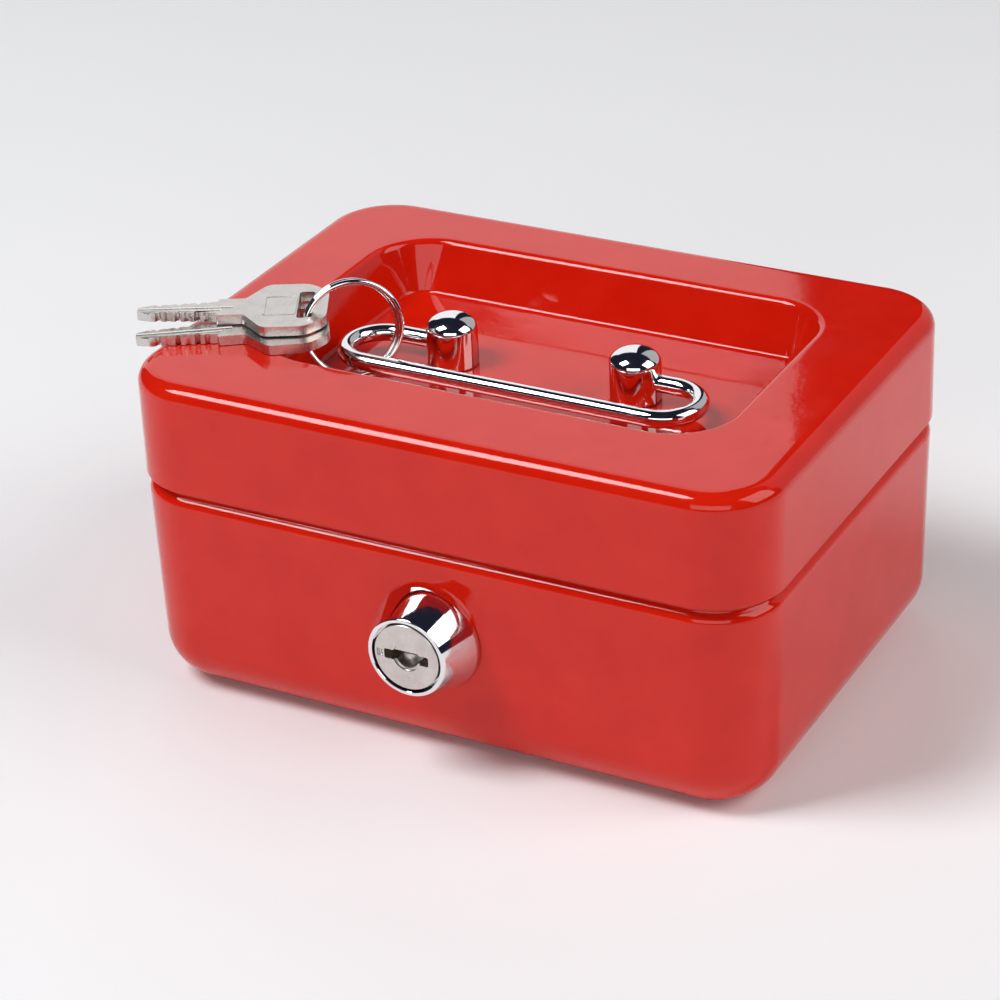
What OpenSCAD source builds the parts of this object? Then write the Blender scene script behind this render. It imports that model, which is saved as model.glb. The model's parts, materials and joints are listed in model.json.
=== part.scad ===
// Small lockable cash box: drawn steel body and hinged lid, cam lock, bail handle and two keys on a split ring.
// Millimetres. Origin: centre of the resting face. +X right, -Y front (lock side), +Z up.

/* [Box] */
// Outside width of the lid
box_w = 115; // [113:0.5:118]
// Outside depth of the lid
box_d = 84; // [82:0.5:88]
// Height of the closed box without the handle posts
box_h = 58; // [57:0.5:60]
// Height of the seam between body and lid
seam_z = 38.5; // [38:0.5:39]
// Plan radius of the lid's vertical corners
corner_r = 12; // [11:0.5:13]
// Radius along the lid's top edge
lid_edge_r = 2.8; // [2:0.1:3.2]
// Radius along the body's bottom edge
body_edge_r = 8.4; // [7:0.1:9]
// Draft of the body's walls, top to bottom, on each side
body_draft = 0.55; // [0.2:0.05:0.8]
// Thickness of the painted steel sheet
sheet_t = 0.8; // [0.7:0.05:1]

/* [Handle well] */
// Width of the well at its floor
well_w = 75.6; // [75:0.2:76]
// Depth of the well at its floor, front to back
well_d = 44.4; // [44.2:0.2:45]
// How far the well lies below the lid's top
well_h = 8.8; // [8.6:0.1:9]
// Shift of the well towards the hinge
well_y = 2.2; // [2:0.1:2.4]

/* [Handle] */
// Shift of the posts towards the hinge
handle_y = 1.1; // [0.9:0.1:1.3]
// Diameter of the bail's wire
bail_d = 3; // [2.8:0.1:3]
// Distance between the bail's two long runs
bail_reach = 12.2; // [12:0.1:12.4]
// Length of the bail's straight front run
bail_run = 52.4; // [52:0.2:53]
// Height of the bail's hinge line over the well floor
bail_lift = 3.5; // [3.4:0.1:3.6]
// Distance between the two posts
post_pitch = 34.2; // [34:0.2:35]
// Diameter of the posts
post_d = 8.8; // [8.6:0.1:9]
// Height of the posts over the well floor
post_h = 9.1; // [8.8:0.1:9.2]

/* [Lock] */
// Height of the lock's axis
lock_z = 22.4; // [22:0.1:23]
// Diameter of the collar where it meets the body
collar_d = 19; // [18.6:0.1:19.4]
// Diameter of the collar's flat front ring
collar_face_d = 14; // [13.8:0.1:14.2]
// How far the collar stands out of the body
collar_h = 7.4; // [7:0.1:7.6]
// Diameter of the plug's face
plug_d = 11.9; // [11.7:0.1:12]
// Diameter of the plug's shank
shank_d = 9; // [8.8:0.1:9.2]

/* [Hinge] */
// Outside diameter of the knuckles
knuckle_d = 3; // [2.9:0.1:3.2]
// Length of the hinge
hinge_w = 60; // [56:1:64]

/* [Keys and ring] */
// Thickness of each key
key_t = 1.7; // [1.6:0.05:1.75]
// Diameter of the ring, measured at the middle of its wire
ring_d = 16.2; // [16:0.1:16.3]
// Diameter of the ring's wire
ring_wire = 1; // [0.9:0.05:1]

/* [Hidden] */

fine = 96;
run_gap = 0.05;
clear_gap = 0.3;

// Box: the lid's skirt ends a little above the body's shoulder, and a neck rises inside it
shoulder_r = 1.8;
body_inset = 0.3;
seam_gap = 0.7;
neck_inset = 1.3;
neck_h = 4.2;
shoulder_z = seam_z - seam_gap / 2;
skirt_z = seam_z + seam_gap / 2;
body_corner_r = corner_r - body_inset;
floor_inner_r = body_edge_r - sheet_t;
lid_x = box_w / 2;
lid_y = box_d / 2;
body_y = lid_y - body_inset;

// Well: sloped walls between a rolled rim and a rounded floor edge
well_run = 4.1;
well_corner_r = 6.6;
rim_r = 2.6;
toe_r = 1.8;
well_floor_z = box_h - well_h;

// Handle
bail_r = bail_d / 2;
bail_z = well_floor_z + bail_lift;
bail_slide = -1.2;
bail_end_r = bail_reach / 2;
bail_tip_x = 2.4;
post_hole_x = 3.6;
post_x = post_pitch / 2;
post_r = post_d / 2;
post_cap_h = 2.5;
post_skirt_h = post_h - post_cap_h;
post_screw_r = 1.5;
post_thread_l = 1.2;
post_bore_l = 1.4;
post_washer_r = 4;
post_washer_t = 0.8;

// Lock, along its axis: u is the distance inwards from the collar's front ring
collar_back_u = collar_h;
barrel_r = 7;
barrel_u = collar_back_u + 9.8;
plug_head_t = 2;
head_gap = 0.28;
shank_r = shank_d / 2;
nut_af_r = 9.6;
nut_t = 3;
washer_t = 0.8;
washer_u = collar_back_u + sheet_t + 0.35;
wall_hole_r = barrel_r + 0.1;
lock_front_y = -body_y - collar_h + 0.15;
tail_l = 1.8;
tail_w = 5;
cam_t = 1.4;
cam_u = barrel_u + 0.2;
cam_hub_r = 4.8;
cam_arm_w = 5;
cam_reach = 13;
cam_finger_l = 7.5;
cam_finger_w = 2.6;
screw_r = 1.5;
screw_in = 3.6;
keyway_w = 8;
keyway_h = 1.7;
keyway_core_r = 2.3;
keyway_core_l = 2.6;
keyway_l = 13;
wafer_n = 4;
wafer_t = 0.8;
wafer_pitch = 2.3;
wafer_u = 4.2;
wafer_w = 6.6;
wafer_h = 2.2;
spring_r = 0.6;
spring_h = 1;

// Catch: a plate hanging from the lid, whose lip lies under the cam's finger when locked
catch_t = 1.4;
catch_web_x = 9.6;
catch_web_w = 3;
catch_lip_z = 31;
catch_lip_h = 1.4;
catch_lip_x = 3.2;
catch_bend_z = 46;
catch_flange_h = 6;
catch_y = lock_front_y + cam_u;

// Hinge: the knuckles sit in notches on the seam, on the line of the outside face
hinge_y = lid_y + 0.35;
hinge_z = seam_z;
knuckle_r = knuckle_d / 2;
pin_r = 0.8;
knuckle_n = 5;
knuckle_gap = 0.3;
knuckle_l = (hinge_w - knuckle_gap * (knuckle_n - 1)) / knuckle_n;
leaf_t = 0.7;
leaf_h = 10;
leaf_y = lid_y - sheet_t - leaf_t;
body_leaf_y = body_y - sheet_t - leaf_t - 0.25;

// Key ring: two coils side by side, standing upright in the well round the bail's left end
ring_r = ring_d / 2;
ring_coil_off = 0.47;
ring_pos = [-29.8, -10.2, 58.1];
ring_turn = 41;
ring_lean = 8.6;

// Keys: a broad bow with cut corners, a slot, a neck and a toothed blade
key_bow_w = 17;
key_bow_l = 14;
key_cut = 3.4;
key_slot_w = 2.6;
key_slot_l = 10.4;
key_slot_at = 2;
key_neck_w = 6.4;
key_neck_l = 4.6;
key_blade_l = 13.5;
key_blade_w = 4.4;
key_tooth_d = 0.9;
key_teeth = 5;
key_groove_w = 1.1;
key_groove_d = 0.45;
key_pad_w = 7.4;
key_pad_l = 5.6;
key_pad_h = 0.12;
key_rest_gap = 0.12;
key_stack_gap = 0.3;
key_lower_z = box_h + key_rest_gap;
key_upper_z = key_lower_z + key_t + key_stack_gap;
key_upper_pos = [-40.4, -13.5];
key_upper_turn = 207;
key_lower_pos = [-39.1, -15.9];
key_lower_turn = 214;

red = [0.78, 0.09, 0.07];
chrome = [0.82, 0.83, 0.85];
nickel = [0.72, 0.69, 0.66];
zinc = [0.62, 0.63, 0.62];

// Sweeps a flat profile (x outwards from the corner axes, y up) round a rounded rectangle whose corner
// axes stand at +-ax, +-ay
module sweep_round(ax, ay) {
    for (k = [0:3]) rotate([0, 0, 90 * k]) {
        across = k % 2 == 0 ? ax : ay;
        along = k % 2 == 0 ? ay : ax;
        translate([across, along, 0]) {
            rotate([90, 0, 0]) linear_extrude(2 * along) children();
            rotate_extrude(angle = 90, $fn = fine) children();
        }
    }
}

// Flat plate inside the corner axes, joined to the swept rim
module core_plate(ax, ay, z, t) {
    translate([-ax, -ay, z]) cube([2 * ax, 2 * ay, t]);
}

// Rod along X
module rod_x(r, l, n = fine) {
    rotate([0, 90, 0]) cylinder(r = r, h = l, center = true, $fn = n);
}

// Puts its children on the lock's axis: x to the right, z inwards from the collar's front ring, y down
module on_lock() {
    translate([0, lock_front_y, lock_z]) rotate([-90, 0, 0]) children();
}

module drum(r, u, l) {
    translate([0, 0, u]) cylinder(r = r, h = l, $fn = fine);
}

// Outline of the body's wall section, set in by t from its outside
module body_outline(t) {
    r = body_corner_r - t;
    edge_x = r - body_draft;
    shoulder_y = shoulder_z - shoulder_r;
    polygon([[0, t], [edge_x - body_edge_r + t, t], [edge_x - body_edge_r + t, body_edge_r],
        [edge_x, body_edge_r], [r, shoulder_y], [r - shoulder_r + t, shoulder_y],
        [r - shoulder_r + t, shoulder_z - t], [0, shoulder_z - t]]);
    translate([edge_x - body_edge_r + t, body_edge_r]) circle(r = body_edge_r - t, $fn = fine);
    translate([r - shoulder_r + t, shoulder_y]) circle(r = shoulder_r - t, $fn = fine);
    translate([0, body_edge_r]) square([r - neck_inset, shoulder_z + neck_h + t - body_edge_r]);
}

// Section of the body's wall from its floor to its neck
module body_profile() {
    difference() {
        body_outline(0);
        difference() {
            body_outline(sheet_t);
            translate([-1, -1]) square([body_corner_r + 1, sheet_t + 1]);
        }
        translate([-body_corner_r, -1]) square([body_corner_r, shoulder_z + neck_h + 2]);
    }
}

module body_shell() {
    ax = box_w / 2 - body_inset - body_corner_r;
    ay = body_y - body_corner_r;
    color(red) difference() {
        union() {
            sweep_round(ax, ay) body_profile();
            core_plate(ax, ay, 0, sheet_t);
        }
        on_lock() drum(wall_hole_r, 0, barrel_u);
        translate([-hinge_w / 2 - clear_gap, body_y - 3, shoulder_z - knuckle_r])
            cube([hinge_w + 2 * clear_gap, 6, neck_h + 4]);
    }
}

// Section of the lid's skirt and top edge
module lid_profile() {
    difference() {
        union() {
            translate([0, skirt_z]) square([corner_r, box_h - lid_edge_r - skirt_z]);
            translate([0, skirt_z]) square([corner_r - lid_edge_r, box_h - skirt_z]);
            translate([corner_r - lid_edge_r, box_h - lid_edge_r]) circle(r = lid_edge_r, $fn = fine);
        }
        translate([0, skirt_z - 1]) square([corner_r - sheet_t, box_h - lid_edge_r - skirt_z + 1]);
        translate([0, skirt_z - 1]) square([corner_r - lid_edge_r, box_h - sheet_t - skirt_z + 1]);
        translate([corner_r - lid_edge_r, box_h - lid_edge_r])
            circle(r = lid_edge_r - sheet_t, $fn = fine);
        translate([-corner_r, skirt_z - 1]) square([corner_r, box_h]);
    }
}

// Half section of the well: a slanting wall between a round toe and a round rim, grown outwards by t
module well_section(t) {
    slant = atan2(well_run, well_h);
    reach = tan((90 - slant) / 2);
    along = [sin(slant), cos(slant)];
    out = [cos(slant), -sin(slant)] * t;
    toe = [well_corner_r - toe_r * reach, well_floor_z + toe_r];
    rim = [well_corner_r + well_run + rim_r * reach, box_h - rim_r];
    toe_tangent = [well_corner_r, well_floor_z] + along * toe_r * reach + out;
    rim_tangent = [well_corner_r + well_run, box_h] - along * rim_r * reach + out;
    difference() {
        union() {
            polygon([[0, well_floor_z - t], [toe.x, well_floor_z - t], toe, toe_tangent, rim_tangent,
                rim, [rim.x, box_h + 1], [0, box_h + 1]]);
            translate(toe) intersection() {
                circle(r = toe_r + t, $fn = fine);
                translate([0, -toe_r - t]) square(2 * toe_r + t);
            }
        }
        translate(rim) circle(r = rim_r - t, $fn = fine);
    }
}

// Solid round the well, thick enough to hold its sheet
module well_cut(t) {
    ax = well_w / 2 - well_corner_r;
    ay = well_d / 2 - well_corner_r;
    translate([0, well_y, 0]) {
        sweep_round(ax, ay) well_section(t);
        core_plate(ax, ay, well_floor_z - t, box_h - well_floor_z + t + 1);
    }
}

module lid_shell() {
    ax = lid_x - corner_r;
    ay = lid_y - corner_r;
    color(red) difference() {
        union() {
            sweep_round(ax, ay) lid_profile();
            core_plate(ax, ay, box_h - sheet_t, sheet_t);
            intersection() {
                well_cut(sheet_t);
                core_plate(lid_x - 2, lid_y - 2, skirt_z, box_h - skirt_z);
            }
        }
        well_cut(0);
        for (side = [-1, 1])
            translate([post_x * side, handle_y, well_floor_z - 2])
                cylinder(r = post_screw_r + 0.1, h = 3, $fn = fine);
        translate([-hinge_w / 2 - clear_gap, lid_y - sheet_t - 0.05, hinge_z - 1])
            cube([hinge_w + 2 * clear_gap, 2, knuckle_r + clear_gap + 1]);
    }
}

// Hook plate that hangs inside the lid's front
module lid_catch() {
    right = catch_web_x + catch_web_w;
    top_y = -lid_y + sheet_t;
    color(zinc) {
        translate([catch_lip_x, catch_y, catch_lip_z]) cube([right - catch_lip_x, catch_t, catch_lip_h]);
        translate([catch_web_x, catch_y, catch_lip_z])
            cube([catch_web_w, catch_t, catch_bend_z - catch_lip_z]);
        translate([catch_lip_x, top_y, catch_bend_z])
            cube([right - catch_lip_x, catch_y + catch_t - top_y, catch_t]);
        translate([catch_lip_x, top_y, catch_bend_z])
            cube([right - catch_lip_x, catch_t, catch_flange_h]);
    }
}

// Post with a rounded cap and a blind cross hole for the bail's end
module handle_post(side) {
    cap_r = (post_r * post_r + post_cap_h * post_cap_h) / (2 * post_cap_h);
    color(chrome) translate([post_x * side, handle_y, well_floor_z]) difference() {
        union() {
            cylinder(r = post_r, h = post_skirt_h, $fn = fine);
            intersection() {
                translate([0, 0, post_skirt_h]) cylinder(r = post_r, h = post_cap_h, $fn = fine);
                translate([0, 0, post_h - cap_r]) sphere(r = cap_r, $fn = fine);
            }
        }
        translate([side * post_r, 0, bail_lift]) rod_x(bail_r + run_gap, 2 * (post_r + post_hole_x));
        translate([0, 0, -1]) cylinder(r = post_screw_r, h = post_bore_l + 1, $fn = fine);
    }
}

module handle_post_left() { handle_post(-1); }
module handle_post_right() { handle_post(1); }

module post_washers() {
    color(zinc) for (side = [-1, 1])
        translate([post_x * side, handle_y, well_floor_z - sheet_t - post_washer_t]) difference() {
            cylinder(r = post_washer_r, h = post_washer_t, $fn = fine);
            translate([0, 0, -1]) cylinder(r = post_screw_r + 0.1, h = 3, $fn = fine);
        }
}

// Pan-head screws that hold the posts from inside the lid
module post_screws() {
    head_t = 1.8;
    head_r = 2.9;
    under = well_floor_z - sheet_t - post_washer_t;
    color(zinc) for (side = [-1, 1])
        translate([post_x * side, handle_y, under]) difference() {
            union() {
                cylinder(r = post_screw_r, h = sheet_t + post_washer_t + post_thread_l, $fn = fine);
                translate([0, 0, -head_t]) cylinder(r = head_r, h = head_t, $fn = fine);
            }
            for (a = [0, 90])
                translate([0, 0, -head_t]) rotate([0, 0, a]) cube([3.2, 0.8, 1.8], center = true);
        }
}

// Stadium-shaped wire whose two ends turn inwards into the posts
module handle_bail() {
    half = bail_run / 2;
    inner = post_x - bail_tip_x;
    color(chrome) translate([bail_slide, handle_y - bail_end_r, bail_z]) {
        translate([0, -bail_end_r, 0]) rod_x(bail_r, bail_run);
        for (side = [-1, 1]) {
            translate([side * half, 0, 0]) rotate([0, 0, -90 * side]) rotate_extrude(angle = 180, $fn = fine)
                translate([bail_end_r, 0]) circle(r = bail_r, $fn = 48);
            translate([(inner + half) / 2 * side, bail_end_r, 0]) rod_x(bail_r, half - inner);
        }
    }
}

// Knuckles of one leaf: every second one, starting at first
module knuckles(first) {
    for (k = [first:2:knuckle_n - 1])
        translate([-hinge_w / 2 + knuckle_l / 2 + k * (knuckle_l + knuckle_gap), hinge_y, hinge_z])
            rod_x(knuckle_r, knuckle_l);
}

// Pieces that tie the knuckles of one leaf to its plate, d deep and h high
module knuckle_ties(first, y, z, d, h) {
    for (k = [first:2:knuckle_n - 1])
        translate([-hinge_w / 2 + k * (knuckle_l + knuckle_gap), y, z]) cube([knuckle_l, d, h]);
}

module body_hinge_leaf() {
    plate_z = shoulder_z - knuckle_r - clear_gap - leaf_h;
    color(zinc) difference() {
        union() {
            knuckles(0);
            knuckle_ties(0, body_leaf_y, hinge_z - knuckle_r, hinge_y - body_leaf_y, leaf_t);
            translate([-hinge_w / 2, body_leaf_y, plate_z])
                cube([hinge_w, leaf_t, hinge_z - knuckle_r + leaf_t - plate_z]);
        }
        translate([0, hinge_y, hinge_z]) rod_x(pin_r + run_gap, hinge_w + 2);
    }
}

module lid_hinge_leaf() {
    tie_z = hinge_z + knuckle_r - leaf_t;
    plate_z = hinge_z + knuckle_r + clear_gap;
    color(zinc) difference() {
        union() {
            knuckles(1);
            knuckle_ties(1, leaf_y, tie_z, hinge_y - leaf_y, leaf_t);
            knuckle_ties(1, leaf_y, tie_z, leaf_t, leaf_h);
            translate([-hinge_w / 2, leaf_y, plate_z]) cube([hinge_w, leaf_t, leaf_h - plate_z + tie_z]);
        }
        translate([0, hinge_y, hinge_z]) rod_x(pin_r + run_gap, hinge_w + 2);
    }
}

module hinge_pin() {
    color(zinc) translate([0, hinge_y, hinge_z]) rod_x(pin_r, hinge_w);
}

// Conical collar and threaded barrel in one piece
module lock_housing() {
    chamfer = 0.4;
    color(chrome) on_lock() difference() {
        union() {
            rotate_extrude($fn = fine) polygon([[0, 0], [collar_face_d / 2 - chamfer, 0],
                [collar_face_d / 2, chamfer], [collar_d / 2, collar_back_u - 0.9],
                [collar_d / 2, collar_back_u], [0, collar_back_u]]);
            drum(barrel_r, 0, barrel_u);
        }
        drum(plug_d / 2 + head_gap, -1, plug_head_t + 1.4);
        drum(shank_r + run_gap, -1, barrel_u + 2);
    }
}

module lock_washer() {
    color(zinc) on_lock() difference() {
        drum(nut_af_r, washer_u, washer_t);
        drum(barrel_r + 0.1, 0, barrel_u);
    }
}

module lock_nut() {
    color(zinc) on_lock() difference() {
        translate([0, 0, washer_u + washer_t]) cylinder(r = nut_af_r, h = nut_t, $fn = 6);
        drum(barrel_r, 0, barrel_u);
    }
}

// Slot for wafer number k, through the plug's shank
module wafer_slot(k, gap) {
    translate([-wafer_w / 2 - gap, -wafer_h / 2 - gap, wafer_u + k * wafer_pitch - gap])
        cube([wafer_w + 2 * gap, wafer_h + 2 * gap, wafer_t + 2 * gap]);
}

module spring_pocket(k, gap) {
    translate([0, wafer_h / 2, wafer_u + k * wafer_pitch + wafer_t / 2]) rotate([-90, 0, 0])
        cylinder(r = spring_r + gap, h = spring_h + gap, $fn = 24);
}

module lock_plug() {
    color(nickel) on_lock() difference() {
        union() {
            drum(plug_d / 2, 0.15, plug_head_t);
            drum(shank_r, 0.15, barrel_u - 0.15);
            intersection() {
                drum(shank_r - 0.8, barrel_u - 1, tail_l + 1);
                translate([-tail_w / 2, -tail_w / 2, barrel_u - 1]) cube([tail_w, tail_w, tail_l + 1]);
            }
        }
        translate([-keyway_w / 2, -keyway_h / 2, -1]) cube([keyway_w, keyway_h, keyway_l + 1]);
        drum(keyway_core_r, -1, keyway_core_l + 1);
        drum(screw_r, barrel_u - screw_in, 10);
        for (k = [0:wafer_n - 1]) {
            wafer_slot(k, 0.05);
            spring_pocket(k, 0.05);
        }
    }
}

// Flat wafers with the key's window, held level as when the key is in
module lock_wafers() {
    color("goldenrod") on_lock() for (k = [0:wafer_n - 1]) difference() {
        wafer_slot(k, 0);
        translate([-2.2, -keyway_h / 2 + 0.2, 0]) cube([4.4, keyway_h - 0.4, barrel_u]);
    }
}

module wafer_springs() {
    color(zinc) on_lock() for (k = [0:wafer_n - 1]) spring_pocket(k, -0.05);
}

// Hook-shaped cam: an arm and a finger, shown unlocked
module lock_cam() {
    color(zinc) on_lock() difference() {
        union() {
            drum(cam_hub_r, cam_u, cam_t);
            translate([-cam_reach, -cam_arm_w / 2, cam_u]) cube([cam_reach, cam_arm_w, cam_t]);
            translate([-cam_reach, -cam_finger_l, cam_u]) cube([cam_finger_w, cam_finger_l, cam_t]);
        }
        translate([-tail_w / 2, -tail_w / 2, 0]) cube([tail_w, tail_w, 2 * barrel_u]);
    }
}

module cam_washer() {
    color(zinc) on_lock() difference() {
        drum(cam_hub_r - 0.6, barrel_u + tail_l, 0.8);
        drum(screw_r + 0.1, 0, 2 * barrel_u);
    }
}

module cam_screw() {
    top_u = barrel_u + tail_l + 0.8;
    color(zinc) on_lock() difference() {
        union() {
            drum(screw_r, barrel_u - screw_in + 0.2, top_u - barrel_u + screw_in - 0.2);
            drum(2.8, top_u, 2);
        }
        for (a = [0, 90])
            translate([0, 0, top_u + 2]) rotate([0, 0, a]) cube([3.2, 0.8, 1.8], center = true);
    }
}

// Split ring: two coils lying against each other
module key_ring() {
    color(chrome) translate(ring_pos) rotate([0, 0, ring_turn]) rotate([90 - ring_lean, 0, 0])
        rotate_extrude($fn = fine) for (side = [-1, 1])
            translate([ring_r, ring_coil_off * side]) circle(r = ring_wire / 2, $fn = 32);
}

// One key, flat, with its bow's centre at the origin and its blade along +X
module key_shape() {
    bow_x = key_bow_l / 2;
    bow_y = key_bow_w / 2;
    neck_x = bow_x + key_neck_l;
    tip_x = neck_x + key_blade_l;
    tooth = key_blade_l / (key_teeth + 1);
    difference() {
        union() {
            linear_extrude(key_t) {
                polygon([[-bow_x, -bow_y + key_cut], [-bow_x + key_cut, -bow_y], [bow_x - key_cut, -bow_y],
                    [bow_x, -key_neck_w / 2], [bow_x, key_neck_w / 2], [bow_x - key_cut, bow_y],
                    [-bow_x + key_cut, bow_y], [-bow_x, bow_y - key_cut]]);
                translate([0, -key_neck_w / 2]) square([neck_x, key_neck_w]);
                translate([0, -key_blade_w / 2]) square([tip_x - 1.6, key_blade_w]);
                polygon([[tip_x - 1.7, -key_blade_w / 2], [tip_x, -0.8], [tip_x, 0.8],
                    [tip_x - 1.7, key_blade_w / 2]]);
            }
            translate([-key_pad_l / 2 + 1, -key_pad_w / 2, key_t - 0.1])
                cube([key_pad_l, key_pad_w, 0.1 + key_pad_h]);
        }
        translate([-key_slot_at - key_slot_w, -key_slot_l / 2, -1]) cube([key_slot_w, key_slot_l, key_t + 2]);
        for (k = [0:key_teeth - 1], side = [-1, 1])
            translate([neck_x + (k + 1) * tooth, side * (key_blade_w / 2 + 0.3), key_t / 2])
                rotate([0, 0, 45]) cube([key_tooth_d, key_tooth_d, key_t + 1], center = true);
        for (z = [0, key_t])
            translate([bow_x + 2, -key_groove_w / 2, z - key_groove_d])
                cube([tip_x, key_groove_w, 2 * key_groove_d]);
    }
}

module key_upper() {
    color(nickel) translate([key_upper_pos.x, key_upper_pos.y, key_upper_z])
        rotate([0, 0, key_upper_turn]) key_shape();
}

module key_lower() {
    color(nickel) translate([key_lower_pos.x, key_lower_pos.y, key_lower_z])
        rotate([0, 0, key_lower_turn]) key_shape();
}

body_shell();
lock_housing();
lock_washer();
lock_nut();
lock_plug();
lock_wafers();
wafer_springs();
lock_cam();
cam_washer();
cam_screw();
body_hinge_leaf();
hinge_pin();
lid_hinge_leaf();
lid_shell();
lid_catch();
handle_post_left();
handle_post_right();
post_washers();
post_screws();
handle_bail();
key_ring();
key_upper();
key_lower();
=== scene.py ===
import json
import math

import bmesh
import bpy
from mathutils import Matrix, Vector


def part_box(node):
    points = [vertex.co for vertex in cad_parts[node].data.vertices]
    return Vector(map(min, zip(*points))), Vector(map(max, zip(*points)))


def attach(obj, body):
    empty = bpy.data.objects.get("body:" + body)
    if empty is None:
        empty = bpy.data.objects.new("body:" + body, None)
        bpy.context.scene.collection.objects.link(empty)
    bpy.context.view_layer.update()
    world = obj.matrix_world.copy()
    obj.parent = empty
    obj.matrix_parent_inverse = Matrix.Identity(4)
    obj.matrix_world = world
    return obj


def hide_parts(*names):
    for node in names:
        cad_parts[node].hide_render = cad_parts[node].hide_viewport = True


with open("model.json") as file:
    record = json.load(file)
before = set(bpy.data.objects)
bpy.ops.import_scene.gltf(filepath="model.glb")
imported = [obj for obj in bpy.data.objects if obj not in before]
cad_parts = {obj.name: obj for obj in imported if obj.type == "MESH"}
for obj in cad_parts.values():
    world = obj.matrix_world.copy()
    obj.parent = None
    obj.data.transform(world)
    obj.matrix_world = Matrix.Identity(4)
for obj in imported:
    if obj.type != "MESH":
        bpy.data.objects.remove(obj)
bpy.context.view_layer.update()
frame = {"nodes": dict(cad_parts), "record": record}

# Small red steel cash box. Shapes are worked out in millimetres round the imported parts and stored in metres.

MM = 0.001
SHEET = 0.8            # thickness of the painted sheet
CORNER_STEPS = 20      # segments in each rounded corner of the sheet pieces
SIDE_STEPS = 10        # segments along each straight side
ARC_STEPS = 10         # segments in each rolled edge
TURN_STEPS = 96        # segments round a turned piece
MERGE = 1.5e-6         # points nearer than this, in metres, are one point
HINGE_NOTCH = 30.3     # half the width of the notch that body and lid leave for the hinge


def box_mm(node):
    low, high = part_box(node)
    return low / MM, high / MM


def middle(node):
    low, high = box_mm(node)
    return (low + high) / 2


# ---------------------------------------------------------------- mesh helpers

def to_object(name, verts, faces, matrix=Matrix.Identity(4)):
    """A closed mesh object from points in millimetres, with its faces turned outwards."""
    mesh = bpy.data.meshes.new(name)
    mesh.from_pydata([matrix @ Vector(v) * MM for v in verts], [], faces)
    shape = bmesh.new()
    shape.from_mesh(mesh)
    bmesh.ops.remove_doubles(shape, verts=shape.verts, dist=1e-7)
    bmesh.ops.recalc_face_normals(shape, faces=shape.faces)
    shape.to_mesh(mesh)
    shape.free()
    piece = bpy.data.objects.new(name, mesh)
    bpy.context.scene.collection.objects.link(piece)
    return piece


def clean(piece):
    """Merges points that fall together and drops faces without area."""
    shape = bmesh.new()
    shape.from_mesh(piece.data)
    bmesh.ops.remove_doubles(shape, verts=shape.verts, dist=MERGE)
    bmesh.ops.dissolve_degenerate(shape, edges=shape.edges, dist=MERGE)
    loose = [f for f in shape.faces if all(len(e.link_faces) != 2 for e in f.edges)]
    bmesh.ops.delete(shape, geom=loose, context="FACES")
    shape.to_mesh(piece.data)
    shape.free()
    return piece


def bake_modifiers(piece):
    graph = bpy.context.evaluated_depsgraph_get()
    mesh = bpy.data.meshes.new_from_object(piece.evaluated_get(graph))
    piece.modifiers.clear()
    piece.data = mesh
    return piece


def cut(piece, *cutters):
    """Takes the cutters away from the piece and deletes them."""
    for cutter in cutters:
        step = piece.modifiers.new("cut", "BOOLEAN")
        step.operation, step.solver, step.object = "DIFFERENCE", "EXACT", cutter
    bake_modifiers(piece)
    for cutter in cutters:
        bpy.data.objects.remove(cutter)
    return piece


def join(piece, *others):
    """Unites the others with the piece and deletes them."""
    for other in others:
        step = piece.modifiers.new("join", "BOOLEAN")
        step.operation, step.solver, step.object = "UNION", "EXACT", other
    bake_modifiers(piece)
    for other in others:
        bpy.data.objects.remove(other)
    return piece


def soften(piece, width, segments=2, angle=40):
    """Rounds the sharp edges of a piece."""
    step = piece.modifiers.new("soften", "BEVEL")
    step.width, step.segments = width * MM, segments
    step.limit_method, step.angle_limit = "ANGLE", math.radians(angle)
    step.harden_normals = False
    return bake_modifiers(piece)


def smooth(piece, angle=32):
    piece.data.shade_smooth()
    piece.data.set_sharp_from_angle(angle=math.radians(angle))
    step = piece.modifiers.new("normals", "WEIGHTED_NORMAL")
    step.keep_sharp = True
    return bake_modifiers(piece)


def finish_piece(piece, node, body, material, angle=32):
    """Gives a piece its shading, finish and place in the frame."""
    clean(piece)
    smooth(piece, angle)
    piece.data.materials.clear()
    piece.data.materials.append(material)
    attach(piece, body)
    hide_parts(node)
    return piece


def rounded_ring(half_x, half_y, radius, z, centre_y=0.0):
    """Points round a rounded rectangle at height z, the same number for every size."""
    radius = min(max(radius, 0.3), half_x - 0.1, half_y - 0.1)
    corners = ((1, 1), (-1, 1), (-1, -1), (1, -1))
    points = []
    for turn, (sx, sy) in enumerate(corners):
        axis = Vector((sx * (half_x - radius), sy * (half_y - radius) + centre_y, z))
        for k in range(CORNER_STEPS + 1):
            a = math.pi / 2 * (turn + k / CORNER_STEPS)
            points.append(axis + radius * Vector((math.cos(a), math.sin(a), 0)))
        nx, ny = corners[(turn + 1) % 4]
        a = math.pi / 2 * (turn + 1)
        outward = radius * Vector((math.cos(a), math.sin(a), 0))
        start = axis + outward
        end = Vector((nx * (half_x - radius), ny * (half_y - radius) + centre_y, z)) + outward
        points += [start.lerp(end, k / SIDE_STEPS) for k in range(1, SIDE_STEPS)]
    return points


def skin(rings):
    """Vertices and faces of a closed skin over the rings, with a flat face at each end."""
    n = len(rings[0])
    verts = [p for ring in rings for p in ring]
    faces = [tuple(range(n)), tuple(range(len(verts) - n, len(verts)))]
    for i in range(len(rings) - 1):
        for j in range(n):
            k = (j + 1) % n
            faces.append((i * n + j, i * n + k, (i + 1) * n + k, (i + 1) * n + j))
    return verts, faces


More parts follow.
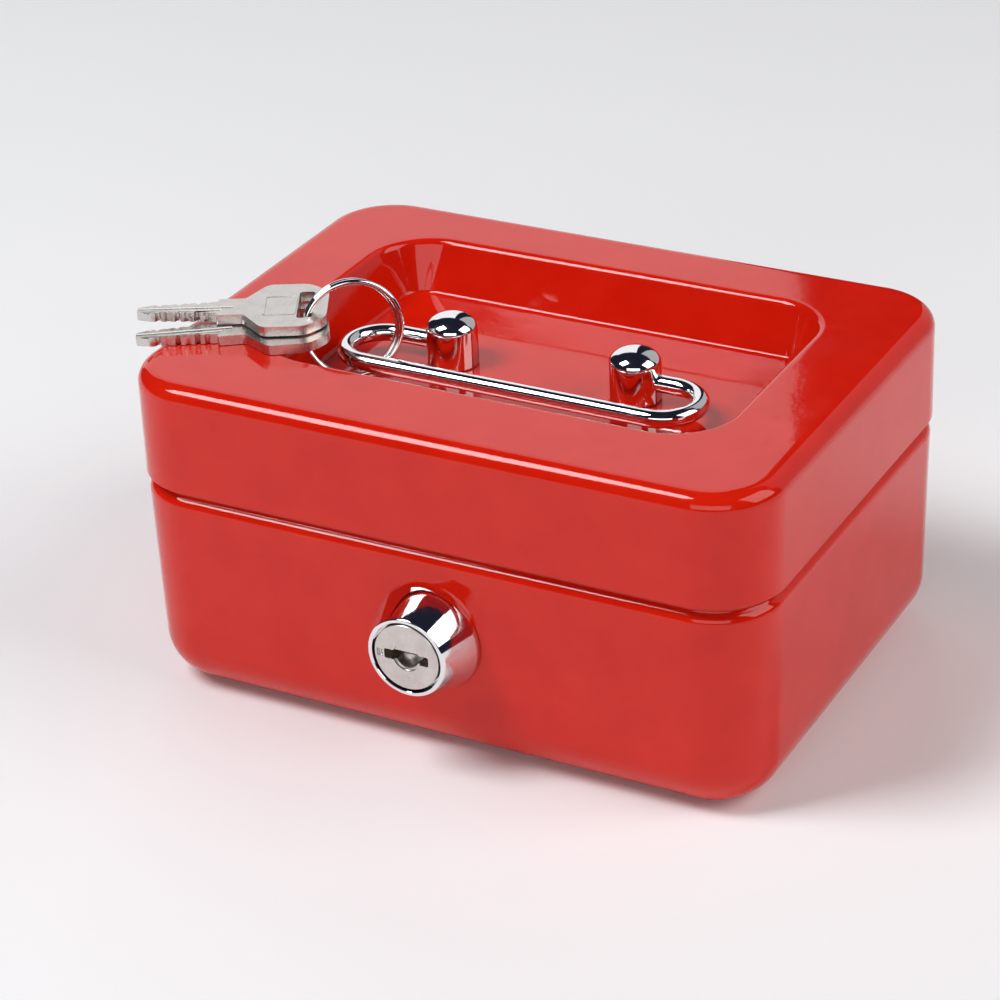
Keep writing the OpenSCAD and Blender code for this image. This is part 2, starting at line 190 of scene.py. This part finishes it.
def plate(name, outline, low, high, matrix=Matrix.Identity(4)):
    """A flat outline given thickness, from height low to high."""
    return to_object(name, *skin([[(x, y, z) for x, y in outline] for z in (low, high)]), matrix)


def arc(x, y, radius, start, end, steps=ARC_STEPS):
    """Points of an arc in a section, from angle start to end in degrees."""
    angles = [math.radians(start + (end - start) * k / steps) for k in range(steps + 1)]
    return [(x + radius * math.cos(a), y + radius * math.sin(a)) for a in angles]


def turned(name, section, matrix, steps=TURN_STEPS, wobble=None):
    """Turns a closed section of (radius, height) points round its height axis. wobble changes a point's
    radius by height and angle. A section that touches the axis gives a solid piece."""
    verts, faces = [], []
    n = len(section)
    for i in range(steps):
        a = 2 * math.pi * i / steps
        for r, h in section:
            if wobble:
                r = wobble(r, h, a)
            verts.append((r * math.cos(a), r * math.sin(a), h))
    for i in range(steps):
        j = (i + 1) % steps
        for k in range(n):
            m = (k + 1) % n
            loop = [i * n + k, j * n + k, j * n + m, i * n + m]
            if section[k][0] == 0 and section[m][0] == 0:
                continue
            if section[k][0] == 0:
                loop = [i * n + k, j * n + m, i * n + m]
            if section[m][0] == 0:
                loop = [i * n + k, j * n + k, i * n + m]
            faces.append(tuple(loop))
    return to_object(name, verts, faces, matrix)


def bar(low, high, matrix=Matrix.Identity(4), name="bar"):
    """Box between two corners."""
    rings = [[(low[0], low[1], z), (high[0], low[1], z), (high[0], high[1], z), (low[0], high[1], z)]
             for z in (low[2], high[2])]
    return to_object(name, *skin(rings), matrix)


def rod(radius, start, end, sides=48, name="rod"):
    """Straight rod between two points."""
    start, end = Vector(start), Vector(end)
    turn = (end - start).to_track_quat("Z", "Y")
    rings = []
    for point in (start, end):
        rings.append([point + turn @ Vector((radius * math.cos(a), radius * math.sin(a), 0))
                      for a in (2 * math.pi * k / sides for k in range(sides))])
    return to_object(name, *skin(rings))


def tube(path, radius, sides=28, tip=0.25):
    """Round wire along a path of points, with softly cut ends."""
    path = [Vector(p) for p in path]
    last_one = len(path) - 1
    tangents = [(path[min(i + 1, last_one)] - path[max(i - 1, 0)]).normalized() for i in range(len(path))]
    side = tangents[0].orthogonal().normalized()
    rings = []
    for point, along in zip(path, tangents):
        side = (side - side.dot(along) * along).normalized()
        other = along.cross(side)
        rings.append((point, along, side, other, radius))
    first, last = rings[0], rings[-1]
    rings[0] = (first[0] + first[1] * tip, *first[1:])
    rings[-1] = (last[0] - last[1] * tip, *last[1:])
    rings.insert(0, (first[0], *first[1:4], radius - tip))
    rings.append((last[0], *last[1:4], radius - tip))
    angles = [2 * math.pi * k / sides for k in range(sides)]
    points = [[p + r * (math.cos(a) * s + math.sin(a) * o) for a in angles] for p, _, s, o, r in rings]
    return skin(points)


# ---------------------------------------------------------------- materials

class Finish:
    """Builds a procedural material. Texture sizes are in millimetres, in the piece's own coordinates."""

    def __init__(self, name, colour, metallic, roughness, **sockets):
        self.material = bpy.data.materials.new(name)
        self.material.use_nodes = True
        self.tree = self.material.node_tree
        self.shader = self.tree.nodes["Principled BSDF"]
        self.place = self.add("ShaderNodeTexCoord").outputs["Object"]
        self.shader.inputs["Base Color"].default_value = (*colour, 1)
        self.shader.inputs["Metallic"].default_value = metallic
        self.shader.inputs["Roughness"].default_value = roughness
        for socket, value in sockets.items():
            self.shader.inputs[socket.replace("_", " ")].default_value = value
        self.normal = None

    def add(self, kind, **settings):
        node = self.tree.nodes.new(kind)
        for key, value in settings.items():
            setattr(node, key, value)
        return node

    def link(self, source, target):
        self.tree.links.new(source, target)

    def stretched(self, scale):
        """The piece's coordinates, stretched by the three factors."""
        node = self.add("ShaderNodeMapping")
        node.inputs["Scale"].default_value = scale
        self.link(self.place, node.inputs["Vector"])
        return node.outputs["Vector"]

    def noise(self, size, detail=2.0, stretch=None):
        node = self.add("ShaderNodeTexNoise")
        node.inputs["Scale"].default_value = 1 / (size * MM)
        node.inputs["Detail"].default_value = detail
        self.link(self.stretched(stretch) if stretch else self.place, node.inputs["Vector"])
        return node.outputs["Fac"]

    def cells(self, size, stretch=None):
        node = self.add("ShaderNodeTexVoronoi")
        node.inputs["Scale"].default_value = 1 / (size * MM)
        self.link(self.stretched(stretch) if stretch else self.place, node.inputs["Vector"])
        return node.outputs["Distance"]

    def span(self, source, low, high, to_low, to_high):
        """Maps a value from one range to another, clamped."""
        node = self.add("ShaderNodeMapRange")
        for socket, value in zip(("From Min", "From Max", "To Min", "To Max"), (low, high, to_low, to_high)):
            node.inputs[socket].default_value = value
        self.link(source, node.inputs["Value"])
        return node.outputs["Result"]

    def combine(self, first, second, operation="ADD"):
        node = self.add("ShaderNodeMath", operation=operation)
        self.link(first, node.inputs[0])
        self.link(second, node.inputs[1])
        return node.outputs[0]

    def bump(self, height, depth, strength=1.0):
        """Adds relief of the given depth in millimetres to what is there already."""
        node = self.add("ShaderNodeBump")
        node.inputs["Strength"].default_value = strength
        node.inputs["Distance"].default_value = depth * MM
        self.link(height, node.inputs["Height"])
        if self.normal:
            self.link(self.normal, node.inputs["Normal"])
        self.normal = node.outputs["Normal"]
        self.link(self.normal, self.shader.inputs["Normal"])

    def tint(self, factor, dark, light):
        """Base colour between two colours by a factor."""
        node = self.add("ShaderNodeMix", data_type="RGBA")
        node.inputs["A"].default_value = (*dark, 1)
        node.inputs["B"].default_value = (*light, 1)
        self.link(factor, node.inputs["Factor"])
        self.link(node.outputs["Result"], self.shader.inputs["Base Color"])

    def roughness(self, value):
        self.link(value, self.shader.inputs["Roughness"])


def red_paint():
    """Stoved gloss enamel: orange peel, slow waves of the pressed sheet, a few pits and faint scuffs."""
    m = Finish("red_enamel", (0.6, 0.011, 0.003), 0.0, 0.1, IOR=1.43)
    m.tint(m.span(m.noise(9, 3), 0.3, 0.7, 0, 1), (0.6, 0.0095, 0.002), (0.65, 0.0135, 0.003))
    scuffs = m.span(m.noise(3.5, 6, (1, 1, 6)), 0.62, 0.8, 0, 0.1)
    m.roughness(m.combine(m.span(m.noise(14, 4), 0.35, 0.7, 0.04, 0.09), scuffs))
    m.bump(m.noise(16, 1), 0.07)
    m.bump(m.noise(1.3, 1), 0.004)
    m.bump(m.span(m.cells(2.6), 0.0, 0.045, 0, 1), 0.012)
    return m.material


def chrome_plate():
    """Bright chrome: almost a mirror, with soft waves from polishing, haze and hairline scratches."""
    m = Finish("chrome", (0.83, 0.835, 0.85), 1.0, 0.05)
    m.tint(m.noise(2.5, 3), (0.80, 0.80, 0.815), (0.87, 0.875, 0.885))
    hair = m.span(m.noise(0.25, 2, (0.05, 1, 1)), 0.66, 0.74, 0, 0.14)
    m.roughness(m.combine(m.span(m.noise(1.8, 5), 0.4, 0.75, 0.035, 0.11), hair))
    m.bump(m.noise(2.2, 2), 0.008)
    m.bump(m.noise(0.35, 2), 0.0008)
    return m.material


def nickel_plate():
    """Satin nickel of keys and plug: fine lines along the metal, edge scratches and faint stains."""
    m = Finish("nickel", (0.66, 0.62, 0.59), 1.0, 0.3)
    stains = m.noise(2.4, 5)
    m.tint(m.span(stains, 0.3, 0.72, 0, 1), (0.60, 0.565, 0.54), (0.70, 0.665, 0.635))
    lines = m.noise(0.12, 3, (1, 0.08, 0.5))
    m.roughness(m.combine(m.span(lines, 0.3, 0.7, 0.24, 0.36), m.span(stains, 0.55, 0.8, 0, 0.08)))
    m.bump(lines, 0.0016)
    m.bump(m.noise(0.3, 3, (1, 1, 0.12)), 0.009)
    m.bump(m.span(m.cells(1.4), 0.0, 0.05, 0, 1), 0.004)
    return m.material


def zinc_plate():
    """Dull zinc on the hidden hardware: spangled tone, cloudy gloss, rolling marks."""
    m = Finish("zinc", (0.6, 0.6, 0.58), 1.0, 0.4)
    m.tint(m.span(m.cells(1.7), 0.1, 0.7, 0, 1), (0.52, 0.53, 0.52), (0.68, 0.68, 0.65))
    m.roughness(m.span(m.noise(1.2, 5), 0.3, 0.75, 0.26, 0.5))
    m.bump(m.noise(0.22, 3, (1, 1, 0.15)), 0.004)
    return m.material


def brass_bare():
    """Stamped brass wafers, a little tarnished."""
    m = Finish("brass", (0.72, 0.54, 0.26), 1.0, 0.32)
    m.tint(m.noise(0.8, 4), (0.22, 0.14, 0.06), (0.42, 0.30, 0.14))
    m.roughness(m.span(m.noise(0.4, 4), 0.3, 0.7, 0.2, 0.42))
    m.bump(m.noise(0.2, 2), 0.003)
    return m.material


def stage_paper():
    """Matt pale paper under the box."""
    m = Finish("paper", (0.9, 0.9, 0.9), 0.0, 0.9)
    m.tint(m.noise(60, 2), (0.89, 0.89, 0.89), (0.91, 0.91, 0.91))
    m.roughness(m.span(m.noise(4, 3), 0.3, 0.7, 0.85, 0.95))
    m.bump(m.noise(0.8, 2), 0.01)
    return m.material


FINISHES = {"red_paint": red_paint(), "chrome_plate": chrome_plate(), "nickel_plate": nickel_plate(),
            "zinc_plate": zinc_plate(), "brass_bare": brass_bare()}


def dress_nodes():
    """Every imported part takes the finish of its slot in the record."""
    for part in frame["record"]["subparts"]:
        node = frame["nodes"][part["node"]]
        for slot in node.material_slots:
            slot.material = FINISHES[part["material_slot"]]


# ---------------------------------------------------------------- sheet pieces

def sheet_rings(half_x, half_y, corner, section):
    """Rings of a section of (inset, height) points round a rounded rectangle."""
    return [rounded_ring(half_x - inset, half_y - inset, corner - inset, z) for inset, z in section]


def plate_rings(half_x, half_y, corner, z, centre_y=0.0):
    """Rings from near the middle of a flat plate out to its edge."""
    return [rounded_ring(half_x - half_y * (1 - s), half_y * s, corner * s, z, centre_y)
            for s in (0.04, 0.3, 0.6, 0.85, 0.97)]


def lid():
    """Lid: hemmed skirt, rolled top edge, broad rim, and the handle well with soft corners."""
    low, high = box_mm("lid_shell")
    half_x, half_y = high.x, high.y
    corner, edge, top = 12.0, 2.8, high.z
    hem = 0.28
    skirt = low.z
    well_floor = box_mm("handle_post_left")[0].z
    well_y = 2.2       # the well lies a little behind the middle of the lid
    floor_x, floor_y, floor_corner = 37.8, 22.2, 4.4
    corner_growth = 1.5
    slope_run, rim, toe = 4.1, 1.6, 1.1
    slant = math.degrees(math.atan2(slope_run, top - well_floor))
    reach = math.tan(math.radians((90 - slant) / 2))

    def well(t):
        """Section of the well from floor to rim as (outset, height), at depth t under its surface."""
        toe_axis = (-toe * reach, well_floor + toe)
        rim_axis = (slope_run + rim * reach, top - rim)
        return (arc(*toe_axis, toe + t, -90, -slant)
                + arc(*rim_axis, rim - t, 180 - slant, 90, ARC_STEPS + 4))

    def well_rings(t):
        return [rounded_ring(floor_x + out, floor_y + out, floor_corner + corner_growth * out, z, well_y)
                for out, z in well(t)]

    def bridge(t):
        """Rings over the flat top between the well's rim and the rolled edge."""
        z = top - t
        out = slope_run + rim * reach
        inner = (floor_x + out, floor_y + out, floor_corner + corner_growth * out, well_y)
        outer = (half_x - edge, half_y - edge, corner - edge, 0.0)
        return [rounded_ring(*(a + (b - a) * s for a, b in zip(inner[:3], outer[:3])),
                             z, inner[3] * (1 - s)) for s in (0.05, 0.35, 0.65, 0.95)]

    def skirt_section(t):
        return (arc(edge, top - edge, edge - t, 90, 180)
                + [(t, top - edge - 1), (t, (top + skirt) / 2), (t, skirt + hem + 0.6)])

    flat = toe * reach      # the toe's arc starts this far inside the floor's edge
    floor_size = (floor_x - flat, floor_y - flat, floor_corner - corner_growth * flat)
    rings = plate_rings(*floor_size, well_floor, well_y)
    rings += well_rings(0) + bridge(0)
    rings += sheet_rings(half_x, half_y, corner, skirt_section(0))
    rings += sheet_rings(half_x, half_y, corner, arc(hem, skirt + hem, hem, 180, 270, 4)
                         + arc(SHEET - hem, skirt + hem, hem, 270, 360, 4))
    rings += sheet_rings(half_x, half_y, corner, skirt_section(SHEET)[::-1])
    rings += bridge(SHEET)[::-1] + well_rings(SHEET)[::-1]
    rings += plate_rings(*floor_size, well_floor - SHEET, well_y)[::-1]
    piece = to_object("lid_pressing", *skin(rings))
    cut(piece, bar((-HINGE_NOTCH, half_y - SHEET - 0.05, skirt - 1),
                   (HINGE_NOTCH, half_y + 1, hinge_z() + 1.8)))
    return finish_piece(piece, "lid_shell", "lid", FINISHES["red_paint"])


def hinge_z():
    return middle("hinge_pin").z


def body():
    """Body: flat bottom, large bottom radius, drafted walls, rolled shoulder, and the neck inside the lid."""
    high = box_mm("body_shell")[1]
    half_x, half_y = high.x, high.y
    corner, bottom, shoulder, draft = 11.7, 8.4, 2.0, 0.55
    neck_inset, lip, fillet = 1.3, 0.38, 0.35
    shoulder_z, neck_z = 37.6, high.z
    t = SHEET

    def wall(t):
        return (arc(draft + bottom, bottom, bottom - t, 270, 180, ARC_STEPS + 4)
                + [(t + draft * 0.55, bottom + 12), (t + draft * 0.12, shoulder_z - shoulder - 3)]
                + arc(shoulder, shoulder_z - shoulder, shoulder - t, 180, 90))

    outside = wall(0)[:-1]
    # the shoulder runs into the neck before its arc is complete
    outside = [p for p in outside if p[0] < neck_inset - fillet or p[1] < shoulder_z - shoulder]
    neck = ([(neck_inset - fillet * 0.4, shoulder_z - 0.08), (neck_inset, shoulder_z + fillet)]
            + arc(neck_inset + lip, neck_z - lip, lip, 180, 0, 8))
    inside = [p for p in wall(t) if p[0] < neck_inset + t or p[1] < shoulder_z - shoulder][::-1]
    base_size = (half_x - draft - bottom, half_y - draft - bottom, corner - draft - bottom)
    rings = plate_rings(*base_size, 0.0)
    rings += sheet_rings(half_x, half_y, corner, outside + neck + [(neck_inset + t, shoulder_z - t)] + inside)
    rings += plate_rings(*base_size, t)[::-1]
    piece = to_object("body_pressing", *skin(rings))
    lock_z, lock_hole = middle("lock_plug").z, 7.1
    front = box_mm("lock_housing")[0].y
    cut(piece, bar((-HINGE_NOTCH, half_y - 3, hinge_z() - 1.85), (HINGE_NOTCH, half_y + 1, neck_z + 1)),
        rod(lock_hole, (0, front, lock_z), (0, front + 17, lock_z), 64))
    return finish_piece(piece, "body_shell", "box", FINISHES["red_paint"])


# ---------------------------------------------------------------- handle

def post(side, node):
    """Turned post: a straight shank with a domed cap and a drilled cross hole for the bail's end. side is -1
    for the left post and 1 for the right."""
    low, high = box_mm(node)
    radius, height = (high.x - low.x) / 2, high.z - low.z
    cap, steps = 2.6, 20
    section = [(0, 0), (radius - 0.3, 0), (radius, 0.3), (radius, height - cap - 1)]
    section += [(radius * math.cos(a), height - cap + cap * math.sin(a))
                for a in (math.pi / 2 * k / steps for k in range(steps))]
    section += [(0, height)]
    centre = (low + high) / 2
    piece = turned(node + "_turned", section, Matrix.Translation((centre.x, centre.y, low.z)))
    wire_low, wire_high = box_mm("handle_bail")
    bore, wire_z = (wire_high.z - wire_low.z) / 2 + 0.05, middle("handle_bail").z
    bore_depth = 3.6
    bore_end = centre.x + side * (radius - bore_depth)
    cut(piece, rod(bore, (bore_end, centre.y, wire_z), (centre.x + side * (radius + 2), centre.y, wire_z)))
    return finish_piece(piece, node, "lid", FINISHES["chrome_plate"])


def bail():
    """Bail: one bent wire, both ends turned into the posts."""
    low, high = box_mm("handle_bail")
    centre = (low + high) / 2
    wire = (high.z - low.z) / 2
    bend = (high.y - low.y) / 2 - wire
    run = (high.x - low.x) / 2 - wire - bend
    grip = 2.4         # how far the wire's ends stop from the middle of each post
    inner_left = middle("handle_post_left").x + grip
    inner_right = middle("handle_post_right").x - grip
    y_back, y_front = centre.y + bend, centre.y - bend
    steps = 36
    path = [(inner_left + centre.x, y_back, centre.z), (centre.x - run + 4, y_back, centre.z)]
    path += [(centre.x - run + x, centre.y + y, centre.z) for x, y in arc(0, 0, bend, 90, 270, steps)]
    path += [(centre.x + run * s, y_front, centre.z) for s in (-0.9, -0.5, 0, 0.5, 0.9)]
    path += [(centre.x + run + x, centre.y + y, centre.z) for x, y in arc(0, 0, bend, -90, 90, steps)]
    path += [(centre.x + run - 4, y_back, centre.z), (inner_right + centre.x, y_back, centre.z)]
    piece = to_object("bail_wire", *tube(path, wire, 36, 0.3))
    return finish_piece(piece, "handle_bail", "bail", FINISHES["chrome_plate"], 50)


# ---------------------------------------------------------------- lock

def lock_matrix():
    """Lock axis: x right, z inwards from the collar's front ring, y down."""
    front = box_mm("lock_housing")[0].y
    return Matrix.Translation((0, front, middle("lock_plug").z)) @ Matrix.Rotation(math.radians(-90), 4, "X")


def collar():
    """Conical collar with a flat front ring, on a threaded barrel."""
    low, high = box_mm("lock_housing")
    outer, face, depth = (high.x - low.x) / 2, 7.0, high.y - low.y
    back, skirt, bevel, mouth_bevel = 7.4, 0.9, 0.22, 0.1
    barrel, bore, mouth, mouth_depth = 7.0, 4.55, 6.23, 3.4
    pitch, cut_depth = 0.8, 0.42
    thread_start, thread_end = back + 1.2, depth - 0.6
    section = [(mouth + mouth_bevel, 0), (face - bevel * 1.4, 0)]
    section += arc(face - bevel * 1.4, bevel * 1.4, bevel * 1.4, -90, -20, 4)[1:]
    section += [(face + (outer - face) * s, bevel + (back - skirt - bevel) * s)
                for s in (0.04, 0.35, 0.7, 0.97)]
    section += [(outer, back - skirt + 0.15), (outer, back - 0.1), (outer - 0.1, back), (barrel, back)]
    count = int((thread_end - thread_start) / pitch * 6)
    section += [(barrel, thread_start + (thread_end - thread_start) * k / count) for k in range(count + 1)]
    section += [(barrel - 0.5, depth), (bore, depth), (bore, mouth_depth), (mouth, mouth_depth),
                (mouth, mouth_bevel)]

    def thread(r, h, a):
        if r != barrel or not thread_start <= h <= thread_end:
            return r
        phase = (h / pitch - a / (2 * math.pi)) % 1
        return r - cut_depth * (1 - abs(2 * phase - 1))

    piece = turned("lock_collar", section, lock_matrix(), TURN_STEPS + 32, thread)
    return finish_piece(piece, "lock_housing", "box", FINISHES["chrome_plate"], 28)


def plug():
    """Plug: a flat face with a level keyway, a shallow round recess, a half-round well below it and an index
    mark."""
    low, high = box_mm("lock_plug")
    gap = 0.12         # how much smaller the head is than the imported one, for the dark line round it
    head, shank, face = (high.x - low.x) / 2 - gap, 4.5, 0.15
    barrel, tail, bevel = 17.2, 5.0, 0.1
    end = high.y - box_mm("lock_housing")[0].y
    section = [(0, face), (head - bevel, face), (head, face + bevel), (head, 2.0), (shank, 2.0),
               (shank, barrel - 0.3), (shank - 0.3, barrel), (0, barrel)]
    at = lock_matrix()
    piece = turned("lock_plug_turned", section, at)
    stem = bar((-tail / 2, -tail / 2, barrel - 1), (tail / 2, tail / 2, end), at)
    join(piece, soften(stem, 0.6, 3))
    slot_half, slot_tall = 4.0, 1.7
    recess, recess_depth, well_r, well_depth = 2.45, 0.4, 2.05, 2.6
    keyway = soften(bar((-slot_half, -slot_tall / 2, -1), (slot_half, slot_tall / 2, 13), at), 0.3, 3)
    disc = plate("disc", arc(0, 0, recess, 1, 355, 59), -1, face + recess_depth, at)
    half_round = plate("half_round", arc(0, 0, well_r, 0, 180, 40), -1, face + well_depth, at)
    mark_x = -slot_half - 1.35
    mark = bar((mark_x, -0.65, -1), (mark_x + 1.1, 0.65, face + 0.3), at)
    tick, tick_step, tick_half = 0.25, 0.45, 0.4
    ticks = []
    for k in range(2):
        x = mark_x + 0.15 + tick_step * k
        ticks.append(bar((x, -tick_half, -1), (x + tick, tick_half, face + 0.5), at))
    cut(piece, keyway, disc, half_round, soften(mark, 0.15), *ticks)
    soften(piece, 0.05, 2, 50)
    return finish_piece(piece, "lock_plug", "plug", FINISHES["nickel_plate"])


# ---------------------------------------------------------------- keys and ring

def split_ring():
    """Split ring: one wire wound twice, crossing over itself at one place."""
    radius, wire, offset, turn, lean = 8.08, 0.5, 0.47, 41.0, 8.6
    spread = 0.22      # how far the two coils part in their plane, on the side away from the keys
    cross = 22.0       # half the angle over which the wire steps from one coil to the other
    steps = 220
    at = (Matrix.Translation(middle("key_ring")) @ Matrix.Rotation(math.radians(turn), 4, "Z")
          @ Matrix.Rotation(math.radians(90 - lean), 4, "X"))
    path = []
    for k in range(steps + 1):
        a = cross + (720 - 2 * cross) * k / steps
        s = min(max((a - (360 - cross)) / (2 * cross), 0), 1)
        h = offset * (2 * (s * s * (3 - 2 * s)) - 1)
        around = math.radians(a + 200)
        r = radius + spread * max(math.cos(around), 0) * h / offset
        path.append(at @ Vector((r * math.cos(around), r * math.sin(around), h)))
    piece = to_object("split_ring_wire", *tube(path, wire, 20, 0.12))
    return finish_piece(piece, "key_ring", "ring", FINISHES["chrome_plate"], 50)


def rounded_outline(points, radius, steps=5):
    """Outline with each corner that names a radius turned into an arc-like curve."""
    out = []
    n = len(points)
    for i, (p, r) in enumerate(zip(points, radius)):
        if r == 0:
            out.append(p)
            continue
        before, after = Vector(points[i - 1]), Vector(points[(i + 1) % n])
        p = Vector(p)
        start = p + (before - p).normalized() * r
        end = p + (after - p).normalized() * r
        for k in range(steps + 1):
            s = k / steps
            out.append(tuple(start * (1 - s) ** 2 + p * 2 * s * (1 - s) + end * s * s))
    return out


def key(node, body, at):
    """Key cut from flat stock: bow with cut corners, slot and raised panel, and a grooved blade with cuts."""
    thick = 1.7
    bow_l, bow_w, corner = 14.0, 17.0, 3.4
    neck_l, neck_w, blade_l, blade_w = 4.6, 6.4, 13.5, 4.4
    nose, tooth, taper = 2.4, 0.5, 0.75
    cut_depths = (0.3, 0.55, 0.25, 0.5, 0.2, 0.45)
    teeth = len(cut_depths)
    bow_x, bow_y = bow_l / 2, bow_w / 2
    neck_x = bow_x + neck_l
    tip = neck_x + blade_l
    half = [(-bow_x, bow_y - corner, 1.6), (-bow_x + corner, bow_y, 1.6), (bow_x - corner, bow_y, 1.2),
            (bow_x, neck_w / 2, 0.5), (neck_x, neck_w / 2, 0.4), (neck_x, blade_w / 2, 0)]
    margin = 0.7       # plain edge between the last cut and the nose
    pitch = (blade_l - nose - margin) / (teeth + 0.35)
    for k in range(1, teeth + 1):
        x = neck_x + k * pitch
        edge = blade_w / 2 - taper * k / teeth
        low = edge - cut_depths[k - 1]
        half += [(x - tooth, edge, 0), (x - tooth * 0.3, low, 0),
                 (x + tooth * 0.3, low, 0), (x + tooth, edge, 0)]
    half += [(tip - nose, blade_w / 2 - taper, 0.6), (tip, 0.6, 0.45)]
    outline = half + [(x, -y, r) for x, y, r in reversed(half)]
    flat = rounded_outline([p[:2] for p in outline], [p[2] for p in outline])
    piece = plate(node + "_cut", flat, 0, thick, at)
    slot_back, slot_front, slot_half = -4.6, -2.0, 5.2
    slot = rounded_outline([(slot_back, -slot_half), (slot_front, -slot_half),
                            (slot_front, slot_half), (slot_back, slot_half)], [0.7] * 4)
    cutters = [plate("slot", slot, -1, thick + 1, at)]
    groove_r, side_groove_r, side_groove_y = 0.5, 0.3, 1.1
    for z in (0, thick):
        cutters.append(rod(groove_r, at @ Vector((bow_x + 2, 0, z)), at @ Vector((tip + 1, 0, z)), 16))
    cutters.append(rod(side_groove_r, at @ Vector((neck_x - 0.8, side_groove_y, thick)),
                       at @ Vector((tip + 1, side_groove_y, thick)), 12))
    cut(piece, *cutters)
    soften(piece, 0.12, 2, 35)
    panel_l, panel_w, panel_x, rise, rib = 5.6, 7.4, 1.0, 0.12, 0.35
    left, right, side = panel_x - panel_l / 2, panel_x + panel_l / 2, panel_w / 2
    edge = rounded_outline([(left, -side), (right, -side), (right, side), (left, side)], [0.5] * 4)
    panel = plate("panel", edge, thick - 0.3, thick + rise, at)
    sunk = bar((left + rib, rib - side, thick + rise - 0.09), (right - rib, side - rib, thick + 1), at)
    cut(panel, sunk)
    join(piece, soften(panel, 0.05, 2, 40))
    return finish_piece(piece, node, body, FINISHES["nickel_plate"])


def key_place(node, x, y, turn):
    """Where a key lies: its bow's centre and its turn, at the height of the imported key."""
    return Matrix.Translation((x, y, box_mm(node)[0].z)) @ Matrix.Rotation(math.radians(turn), 4, "Z")


# ---------------------------------------------------------------- stage, light and camera

def floor():
    size, steps = 4.0, 8
    shape = bmesh.new()
    bmesh.ops.create_grid(shape, x_segments=steps, y_segments=steps, size=size / 2)
    mesh = bpy.data.meshes.new("floor")
    shape.to_mesh(mesh)
    shape.free()
    ground = bpy.data.objects.new("floor", mesh)
    mesh.materials.append(stage_paper())
    bpy.context.scene.collection.objects.link(ground)


def softbox(name, direction, distance, width, height, radiance, colour=(1, 1, 1)):
    """Area light seen from the box in a direction, sized in metres. Its power follows from its radiance."""
    light = bpy.data.lights.new(name, "AREA")
    light.shape, light.size, light.size_y = "RECTANGLE", width, height
    light.energy = radiance * math.pi * width * height
    light.color = colour
    holder = bpy.data.objects.new(name, light)
    bpy.context.scene.collection.objects.link(holder)
    aim = Vector(direction).normalized()
    holder.location = Vector((0, 0, 0.03)) + aim * distance
    holder.rotation_mode = "QUATERNION"
    holder.rotation_quaternion = aim.to_track_quat("Z", "Y")
    return holder


def lights():
    """A dark room, a small bright softbox high at the front left, a large one at the right, a low fill behind
    the camera, a white wall at the back left that the lid's top mirrors, and a greyer one at its right."""
    world = bpy.data.worlds.new("studio")
    world.use_nodes = True
    background = world.node_tree.nodes["Background"]
    background.inputs["Color"].default_value = (0.014, 0.015, 0.028, 1)
    background.inputs["Strength"].default_value = 1.0
    bpy.context.scene.world = world
    softbox("front_left", (-0.44, -0.37, 0.82), 1.2, 0.40, 0.60, 14.0, (0.97, 0.98, 1.0))
    softbox("right", (0.79, 0.14, 0.60), 1.2, 0.8, 0.9, 3.1, (1.0, 0.985, 0.96))
    softbox("fill", (0.35, -1.0, 0.42), 1.6, 1.6, 0.7, 2.0)
    wall_y, wall_height = 1.2, 1.6
    for name, x, width, radiance in (("back_wall", -1.24, 1.56, 1.0), ("back_right", 0.62, 1.5, 0.45)):
        wall = softbox(name, (0, 1, 0), wall_y, width, wall_height, radiance)
        wall.rotation_mode = "XYZ"
        wall.location = (x, wall_y, wall_height / 2)
        wall.rotation_euler = (math.radians(-90), 0, 0)


def camera():
    azimuth, elevation, roll = 28.91, 28.18, -2.48
    distance, target = 0.55248, Vector((-12.11, 6.27, 21.17)) * MM
    a, e = math.radians(azimuth), math.radians(elevation)
    back = Vector((math.sin(a) * math.cos(e), -math.cos(a) * math.cos(e), math.sin(e)))
    holder = bpy.data.objects.new("camera", bpy.data.cameras.new("camera"))
    holder.data.lens, holder.data.sensor_width = 114.07, 36
    holder.location = target + back * distance
    holder.rotation_mode = "QUATERNION"
    upright = (-back).to_track_quat("-Z", "Y")
    holder.rotation_quaternion = upright @ Matrix.Rotation(math.radians(roll), 3, "Z").to_quaternion()
    bpy.context.scene.collection.objects.link(holder)
    bpy.context.scene.camera = holder
    bpy.context.scene.view_settings.view_transform = "Standard"


dress_nodes()
lid()
body()
post(-1, "handle_post_left")
post(1, "handle_post_right")
bail()
collar()
plug()
split_ring()
key("key_upper", "upper_key", key_place("key_upper", -40.4, -13.5, 207))
key("key_lower", "lower_key", key_place("key_lower", -39.1, -15.9, 214))
floor()
lights()
camera()
